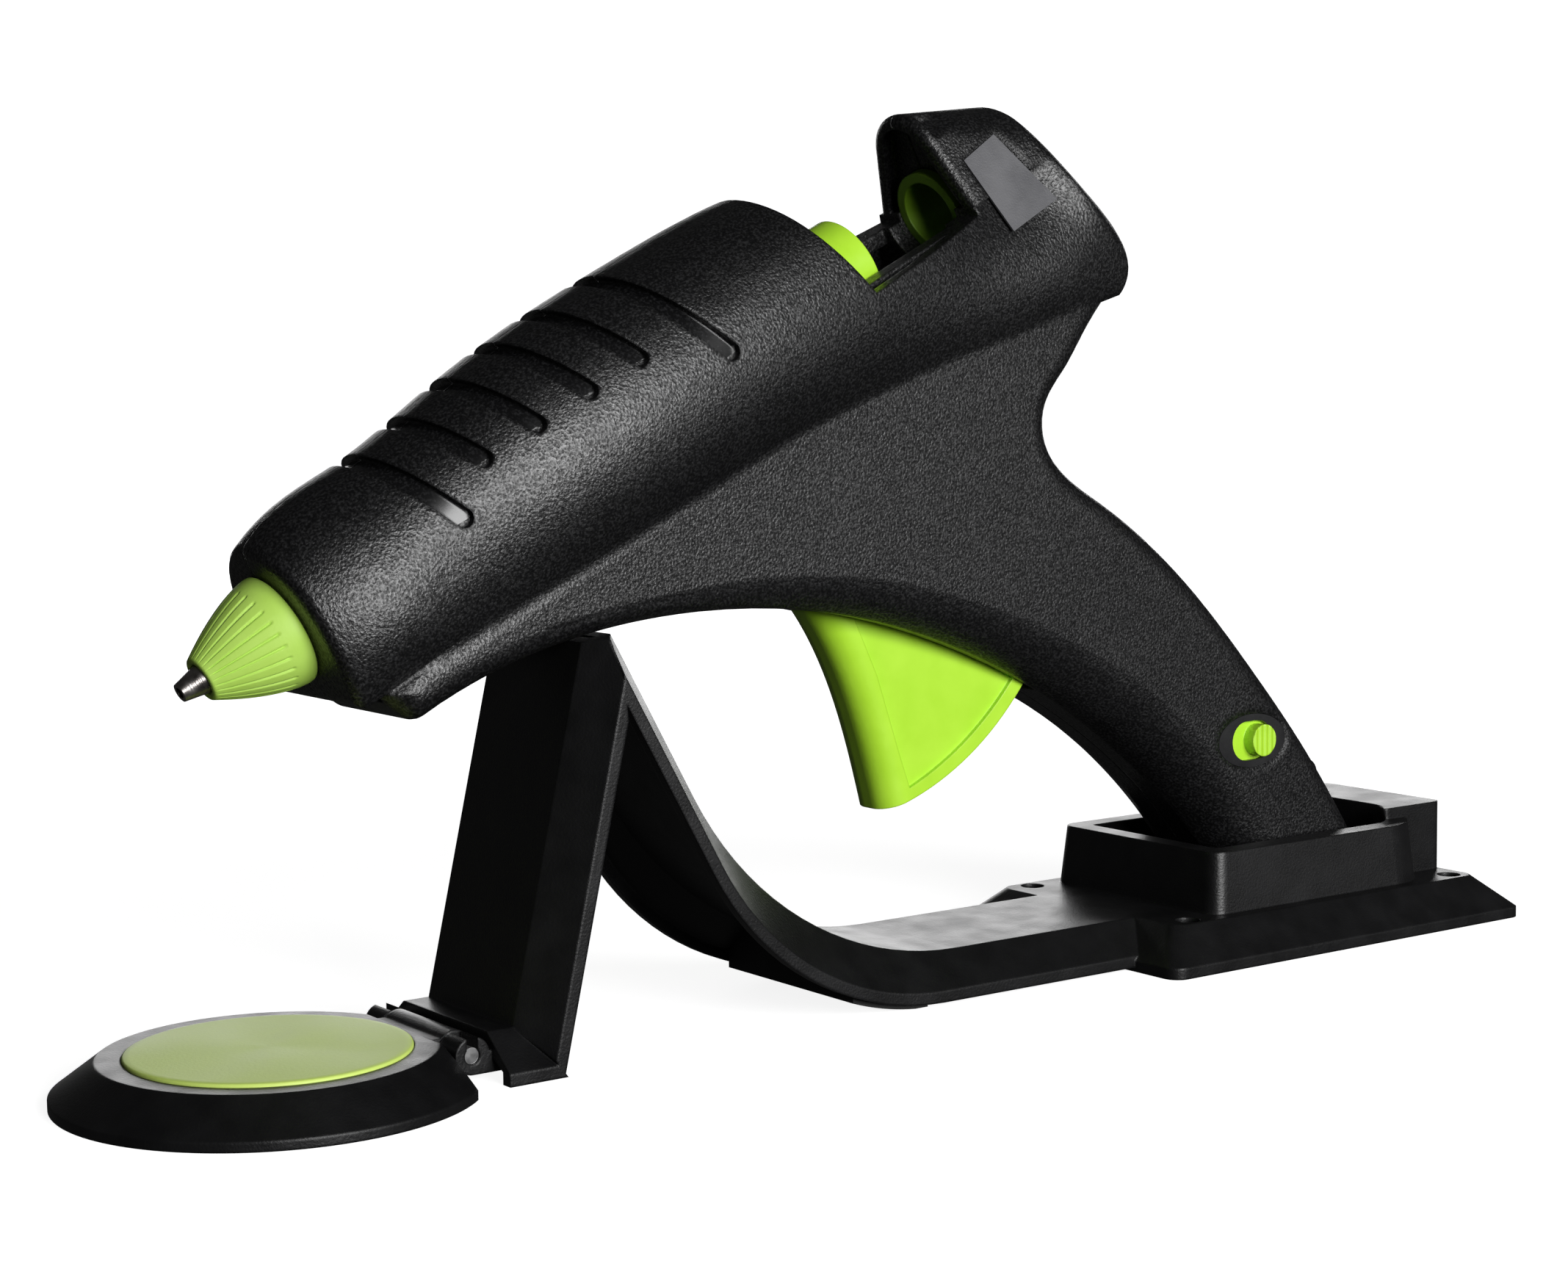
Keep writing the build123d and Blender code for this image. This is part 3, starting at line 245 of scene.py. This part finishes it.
def switch_plastic():
    """Green plastic of the slide switch, with upright ribs on its knob."""
    material, tree, shader = tree_of("switch_green")
    slow = noise_in(tree, GREEN_MOTTLE, SLOW_DETAIL)
    tree.links.new(colours(tree, slow, GREEN_DARK, GREEN_LIGHT), shader.inputs["Base Color"])
    tree.links.new(spread(tree, slow, *GREEN_ROUGH), shader.inputs["Roughness"])
    turns = combine(tree, "MULTIPLY", along(tree, LENGTHWISE), 2 * pi / RIB_PITCH)
    proud = combine(tree, "LESS_THAN", along(tree, ACROSS), RIB_START)
    ribs = combine(tree, "MULTIPLY", combine(tree, "SINE", turns), proud)
    relief = bump(tree, ribs, RIB_DEPTH, soft_edges(tree, GREEN_EDGE).outputs["Normal"])
    tree.links.new(relief, shader.inputs["Normal"])
    return material


# Other plastics, rubbers and silicones

MOULDED = {
    "stand_plastic": dict(
        dark=(0.0035, 0.0035, 0.0038), light=(0.0055, 0.0055, 0.006), rough=(0.36, 0.44),
        grain=0.4, depth=0.05, edge=0.6,
    ),
    "green_plastic": dict(
        dark=GREEN_DARK, light=GREEN_LIGHT, rough=GREEN_ROUGH,
        grain=0.8, depth=0.012, mottle=GREEN_MOTTLE, edge=GREEN_EDGE,
    ),
    # Stick guide: the green plastic darkened to about a third, painted shade for the dark pocket at the
    # tail's front where the ring sits
    "guide_green_painted_shade": dict(
        dark=(0.13, 0.25, 0.012), light=(0.15, 0.28, 0.015), rough=(0.40, 0.48),
        grain=0.8, depth=0.012, edge=GREEN_EDGE,
    ),
    "boot_silicone": dict(
        dark=(0.47, 0.74, 0.11), light=(0.52, 0.80, 0.14), rough=(0.5, 0.6),
        grain=0.5, depth=0.02, specular=0.35,
    ),
    "pad_silicone": dict(
        dark=(0.63, 0.82, 0.17), light=(0.69, 0.88, 0.20), rough=(0.48, 0.56),
        grain=0.5, depth=0.03, mottle=14.0,
    ),
    "black_plastic": dict(
        dark=(0.010, 0.010, 0.011), light=(0.016, 0.016, 0.017), rough=(0.3, 0.42), grain=0.3, depth=0.02
    ),
    "support_plastic": dict(
        dark=(0.09, 0.07, 0.05), light=(0.14, 0.11, 0.08), rough=(0.5, 0.65), grain=0.3, depth=0.03
    ),
    "black_rubber": dict(
        dark=(0.010, 0.010, 0.010), light=(0.018, 0.018, 0.018), rough=(0.6, 0.8), grain=0.4, depth=0.03
    ),
    "sleeve_silicone": dict(
        dark=(0.42, 0.10, 0.05), light=(0.52, 0.15, 0.08), rough=(0.5, 0.65), grain=0.5, depth=0.03
    ),
    "heater_ceramic": dict(
        dark=(0.5, 0.47, 0.4), light=(0.62, 0.59, 0.52), rough=(0.6, 0.75), grain=0.3, depth=0.03
    ),
    "label_grey": dict(
        dark=(0.10, 0.10, 0.107), light=(0.14, 0.14, 0.148), rough=(0.4, 0.6), grain=0.28, depth=0.05
    ),
    "wire_cover": dict(
        dark=(0.45, 0.45, 0.42), light=(0.6, 0.6, 0.56), rough=(0.6, 0.75), grain=0.25, depth=0.04
    ),
}


def moulded(name, dark, light, rough, grain, depth, specular=0.5, mottle=6.0, edge=0.0):
    """Moulded plastic or rubber: slow change of tone, a fine grain and the gloss that goes with it."""
    material, tree, shader = tree_of(name)
    slow = noise_in(tree, mottle, SLOW_DETAIL)
    fine = noise_in(tree, grain, FINE_DETAIL)
    tree.links.new(colours(tree, slow, dark, light), shader.inputs["Base Color"])
    tree.links.new(spread(tree, slow, *rough), shader.inputs["Roughness"])
    below = soft_edges(tree, edge).outputs["Normal"] if edge else None
    tree.links.new(bump(tree, fine, depth, below), shader.inputs["Normal"])
    shader.inputs["Specular IOR Level"].default_value = specular
    return material


# Metals

TARNISH_SIZE, TARNISH_DETAIL = 2.5, 4.0
MARK_DETAIL = 3.0
TURNED = {
    "nozzle_metal": dict(
        dark=(0.20, 0.18, 0.17), light=(0.46, 0.44, 0.43), rough=(0.22, 0.42), pitch=0.25, depth=0.02
    ),
    "chamber_aluminium": dict(
        dark=(0.52, 0.52, 0.53), light=(0.7, 0.7, 0.71), rough=(0.35, 0.5), pitch=0.5, depth=0.02
    ),
    "liner_steel": dict(
        dark=(0.42, 0.42, 0.44), light=(0.6, 0.6, 0.62), rough=(0.16, 0.3), pitch=1.5, depth=0.01
    ),
    "steel": dict(dark=(0.45, 0.45, 0.46), light=(0.6, 0.6, 0.6), rough=(0.25, 0.4), pitch=0.3, depth=0.01),
    "screw_steel": dict(
        dark=(0.05, 0.05, 0.055), light=(0.09, 0.09, 0.095), rough=(0.3, 0.45), pitch=0.3, depth=0.01
    ),
    "contact_brass": dict(
        dark=(0.62, 0.42, 0.16), light=(0.78, 0.58, 0.28), rough=(0.22, 0.38), pitch=0.4, depth=0.01
    ),
}


def turned_metal(name, dark, light, rough, pitch, depth):
    """Metal with fine tool marks round the gun's axis and a little tarnish."""
    material, tree, shader = tree_of(name)
    marks = tree.nodes.new("ShaderNodeTexNoise")
    marks.noise_dimensions = "1D"
    marks.inputs["Scale"].default_value = 1.0 / pitch
    marks.inputs["Detail"].default_value = MARK_DETAIL
    tree.links.new(along(tree, AXIS), marks.inputs["W"])
    tarnish = noise_in(tree, TARNISH_SIZE, TARNISH_DETAIL)
    tree.links.new(colours(tree, tarnish, dark, light), shader.inputs["Base Color"])
    tree.links.new(spread(tree, tarnish, *rough), shader.inputs["Roughness"])
    tree.links.new(bump(tree, marks.outputs["Fac"], depth), shader.inputs["Normal"])
    shader.inputs["Metallic"].default_value = 1.0
    return material


MATERIALS = {"housing_plastic": housing_plastic(), "switch_green": switch_plastic()}
MATERIALS.update({name: moulded(name, **look) for name, look in MOULDED.items()})
MATERIALS.update({name: turned_metal(name, **look) for name, look in TURNED.items()})

# Nodes whose look differs from that of their slot; the stick guide's darker green is painted shade
OWN_MATERIALS = {"stick_guide": "guide_green_painted_shade", "switch_slider": "switch_green"}


def dress_nodes():
    """Give every CAD node the material of its slot, or its own."""
    for part in frame["record"]["subparts"]:
        name = OWN_MATERIALS.get(part["node"], part["material_slot"])
        for slot in nodes[part["node"]].material_slots:
            slot.material = MATERIALS[name]


# Modelled pieces

def mesh_piece(name, verts, faces, body, slot, *replaced):
    """A smooth-shaded mesh that rides on a body and stands for CAD nodes."""
    mesh = bpy.data.meshes.new(name)
    mesh.from_pydata(verts, [], faces)
    work = bmesh.new()
    work.from_mesh(mesh)
    bmesh.ops.recalc_face_normals(work, faces=work.faces)
    work.to_mesh(mesh)
    work.free()
    mesh.shade_smooth()
    piece = bpy.data.objects.new(name, mesh)
    bpy.context.scene.collection.objects.link(piece)
    mesh.materials.append(MATERIALS[slot])
    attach(piece, body)
    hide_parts(*replaced)
    return piece


def ring_faces(rows, count, closed=False):
    """Quads between rows of count points each; closed joins the last row to the first."""
    faces = []
    for row in range(rows if closed else rows - 1):
        after = (row + 1) % rows
        for i in range(count):
            j = (i + 1) % count
            faces.append((row * count + i, row * count + j, after * count + j, after * count + i))
    return faces


def smooth_step(value):
    """Smooth rise from 0 at 0 to 1 at 1, flat on both sides."""
    value = min(max(value, 0.0), 1.0)
    return value * value * (3 - 2 * value)


# Nozzle boot: ogive with fine grooves that stop short of a smooth rear band

BOOT_FRONT, BOOT_REAR = 4.6, 18.6
BOOT_FRONT_R, BOOT_SWELL, BOOT_POWER = 3.6, 5.6, 1.5
BOOT_ROWS = 60

# Station and radius of each corner from the rear rim through the bore to the front rim
BOOT_INSIDE = [
    (19.1, 9.15), (19.3, 8.9), (19.3, 7.85), (22.4, 7.85), (22.4, 6.35),
    (14.0, 6.35), (7.5, 2.65), (4.7, 2.5), (4.5, 2.7), (4.45, 3.2),
]

# Grooves: count, depth, half-width as a share of the pitch, points per pitch, ends and how fast these fade
BOOT_GROOVES, BOOT_GROOVE_DEPTH, BOOT_GROOVE_SHARE, BOOT_GROOVE_POINTS = 26, 0.4, 0.15, 14
BOOT_GROOVE_START, BOOT_GROOVE_STOP = 4.6, 15.8
BOOT_GROOVE_START_FADE, BOOT_GROOVE_STOP_FADE = 1.5, 0.35


def about_stick(station, radius, turn):
    """Point at a station and radius, at a share of a full turn about the stick's axis."""
    out = LIFT * cos(2 * pi * turn) + ACROSS * sin(2 * pi * turn)
    return (STICK_START + AXIS * station + out * radius) * MM


def boot_groove_depth(station, turn):
    """Depth of the groove pattern at a station and a share of a full turn."""
    aside = abs((turn * BOOT_GROOVES) % 1.0 - 0.5)
    across = 1 - smooth_step(aside / BOOT_GROOVE_SHARE)
    start = smooth_step((station - BOOT_GROOVE_START) / BOOT_GROOVE_START_FADE)
    stop = smooth_step((BOOT_GROOVE_STOP - station) / BOOT_GROOVE_STOP_FADE)
    return BOOT_GROOVE_DEPTH * across * start * stop


def build_boot():
    """Nozzle boot, grooved outside, with its bore and rims."""
    count = BOOT_GROOVES * BOOT_GROOVE_POINTS
    turns = [i / count for i in range(count)]
    verts = []
    for row in range(BOOT_ROWS + 1):
        share = row / BOOT_ROWS
        station = BOOT_FRONT + (BOOT_REAR - BOOT_FRONT) * share
        radius = BOOT_FRONT_R + BOOT_SWELL * (1 - (1 - share) ** BOOT_POWER)
        verts += [about_stick(station, radius - boot_groove_depth(station, turn), turn) for turn in turns]
    for station, radius in BOOT_INSIDE:
        verts += [about_stick(station, radius, turn) for turn in turns]
    faces = ring_faces(BOOT_ROWS + 1 + len(BOOT_INSIDE), count, closed=True)
    mesh_piece("boot", verts, faces, "gun", "boot_silicone", "nozzle_boot")


# Drip pad: soft disc, slightly crowned, with a rounded edge that pulls in where it meets the tray

PAD_MIDDLE = Vector((-110.0, 0.0, 0.0))
PAD_R, PAD_SEAT, PAD_TOP = 22.0, 5.4, 7.3
PAD_SIDES, PAD_RINGS = 96, 24

# Height of the crown, and height, count and start of the slow waves in it
PAD_CROWN = 0.22
PAD_WAVE, PAD_WAVES, PAD_WAVE_TURN = 0.07, 3, 0.7

# Edge from the seat up: offset from the pad's radius, and share of the height
PAD_EDGE = [(-0.5, 0.0), (-0.12, 0.12), (0.0, 0.45), (0.0, 0.75), (-0.1, 0.93), (-0.35, 1.0)]


def build_pad():
    """Drip pad on its seat in the tray."""
    rise = PAD_TOP - PAD_CROWN - PAD_SEAT
    rows = [(PAD_R + offset, PAD_SEAT + share * rise) for offset, share in PAD_EDGE]
    edge_r, edge_z = rows[-1]
    for ring in range(1, PAD_RINGS):
        radius = edge_r * (1 - ring / PAD_RINGS)
        rows.append((radius, edge_z + PAD_CROWN * (1 - (radius / edge_r) ** 2)))
    verts = []
    for radius, height in rows:
        swell = PAD_WAVE * sin(pi * radius / PAD_R) if height > edge_z else 0.0
        for i in range(PAD_SIDES):
            turn = 2 * pi * i / PAD_SIDES
            wave = swell * sin(PAD_WAVES * turn + PAD_WAVE_TURN)
            verts.append((PAD_MIDDLE + Vector((radius * cos(turn), radius * sin(turn), height + wave))) * MM)
    faces = ring_faces(len(rows), PAD_SIDES)
    faces.append(tuple(range((len(rows) - 1) * PAD_SIDES, len(rows) * PAD_SIDES)))
    faces.append(tuple(reversed(range(PAD_SIDES))))
    piece = mesh_piece("pad", verts, faces, "tray", "pad_silicone", "drip_pad")


# Camera, floor and light

CAMERA_PLACE = Vector((-292.4, -389.6, 111.1))
CAMERA_RIGHT = Vector((0.81096, -0.58496, -0.01285))
CAMERA_UP = Vector((0.06845, 0.07303, 0.99498))
CAMERA_LENS, SENSOR_WIDTH, CAMERA_CLIP = 64.85, 36.0, 10.0

# Floor: half its side, grey and roughness, and its glow, which rises between two distances from the object
FLOOR_REACH = 6000.0
FLOOR_GREY, FLOOR_ROUGH = 0.5, 0.9
FLOOR_GLOW, FLOOR_GLOW_SPAN = (0.88, 1.05), (120.0, 500.0)

# Brightness of the surroundings, for the object and for the eye
ROOM_FILL, ROOM_WHITE = 0.03, 1.1

# Lights: name, place, aim, width and height, and watts
LIGHTS = [
    ("key", (-20.0, -1050.0, 340.0), (0.0, 0.0, 80.0), (600.0, 500.0), 13.2),
    ("table", (560.0, -900.0, 100.0), (0.0, 0.0, 80.0), (750.0, 170.0), 0.5),
    ("low", (600.0, 940.0, 220.0), (0.0, 0.0, 50.0), (1050.0, 440.0), 4.8),
]


def build_camera():
    """Camera on the gun's left, ahead of the nozzle."""
    camera = bpy.data.cameras.new("camera")
    camera.sensor_fit = "HORIZONTAL"
    camera.sensor_width = SENSOR_WIDTH
    camera.lens = CAMERA_LENS
    camera.clip_start = CAMERA_CLIP * MM
    eye = bpy.data.objects.new("camera", camera)
    bpy.context.scene.collection.objects.link(eye)
    right = CAMERA_RIGHT.normalized()
    back = right.cross(CAMERA_UP).normalized()
    up = back.cross(right)
    turn = Matrix((right, up, back)).transposed().to_4x4()
    eye.matrix_world = Matrix.Translation(CAMERA_PLACE * MM) @ turn
    bpy.context.scene.camera = eye


def build_floor():
    """Pale floor that the camera sees without its light reaching the object."""
    material, tree, shader = tree_of("floor")
    shader.inputs["Base Color"].default_value = (FLOOR_GREY, FLOOR_GREY, FLOOR_GREY, 1.0)
    shader.inputs["Roughness"].default_value = FLOOR_ROUGH
    shader.inputs["Specular IOR Level"].default_value = 0.0
    shader.inputs["Emission Color"].default_value = (1.0, 1.0, 1.0, 1.0)
    place = tree.nodes.new("ShaderNodeTexCoord")
    away = tree.nodes.new("ShaderNodeVectorMath")
    away.operation = "LENGTH"
    tree.links.new(place.outputs["Object"], away.inputs[0])
    near, far = (distance * MM for distance in FLOOR_GLOW_SPAN)
    glow = spread(tree, away.outputs["Value"], *FLOOR_GLOW, near, far)
    tree.links.new(glow, shader.inputs["Emission Strength"])
    mesh = bpy.data.meshes.new("floor")
    reach = FLOOR_REACH * MM
    corners = [(-reach, -reach, 0), (reach, -reach, 0), (reach, reach, 0), (-reach, reach, 0)]
    mesh.from_pydata(corners, [], [(0, 1, 2, 3)])
    mesh.materials.append(material)
    floor = bpy.data.objects.new("floor", mesh)
    bpy.context.scene.collection.objects.link(floor)
    floor.visible_diffuse = False
    floor.visible_glossy = False


def area_light(name, place, aim, size, energy):
    """Rectangular light at a place, turned to an aim and hidden from the camera."""
    light = bpy.data.lights.new(name, "AREA")
    light.shape = "RECTANGLE"
    light.size, light.size_y = (side * MM for side in size)
    light.energy = energy
    lamp = bpy.data.objects.new(name, light)
    bpy.context.scene.collection.objects.link(lamp)
    lamp.visible_camera = False
    lamp.location = Vector(place) * MM
    lamp.rotation_euler = (Vector(aim) - Vector(place)).to_track_quat("-Z", "Y").to_euler()


def build_light():
    """Room that is white for the eye and dim for the object, two lights on its left and a low one behind."""
    world = bpy.data.worlds.new("studio")
    world.use_nodes = True
    tree = world.node_tree
    sky = tree.nodes["Background"]
    sky.inputs["Color"].default_value = (1.0, 1.0, 1.0, 1.0)
    path = tree.nodes.new("ShaderNodeLightPath")
    strength = spread(tree, path.outputs["Is Camera Ray"], ROOM_FILL, ROOM_WHITE, 0.0, 1.0)
    tree.links.new(strength, sky.inputs["Strength"])
    bpy.context.scene.world = world
    bpy.context.scene.view_settings.view_transform = "Standard"
    for light in LIGHTS:
        area_light(*light)


dress_nodes()
build_boot()
build_pad()
build_camera()
build_floor()
build_light()
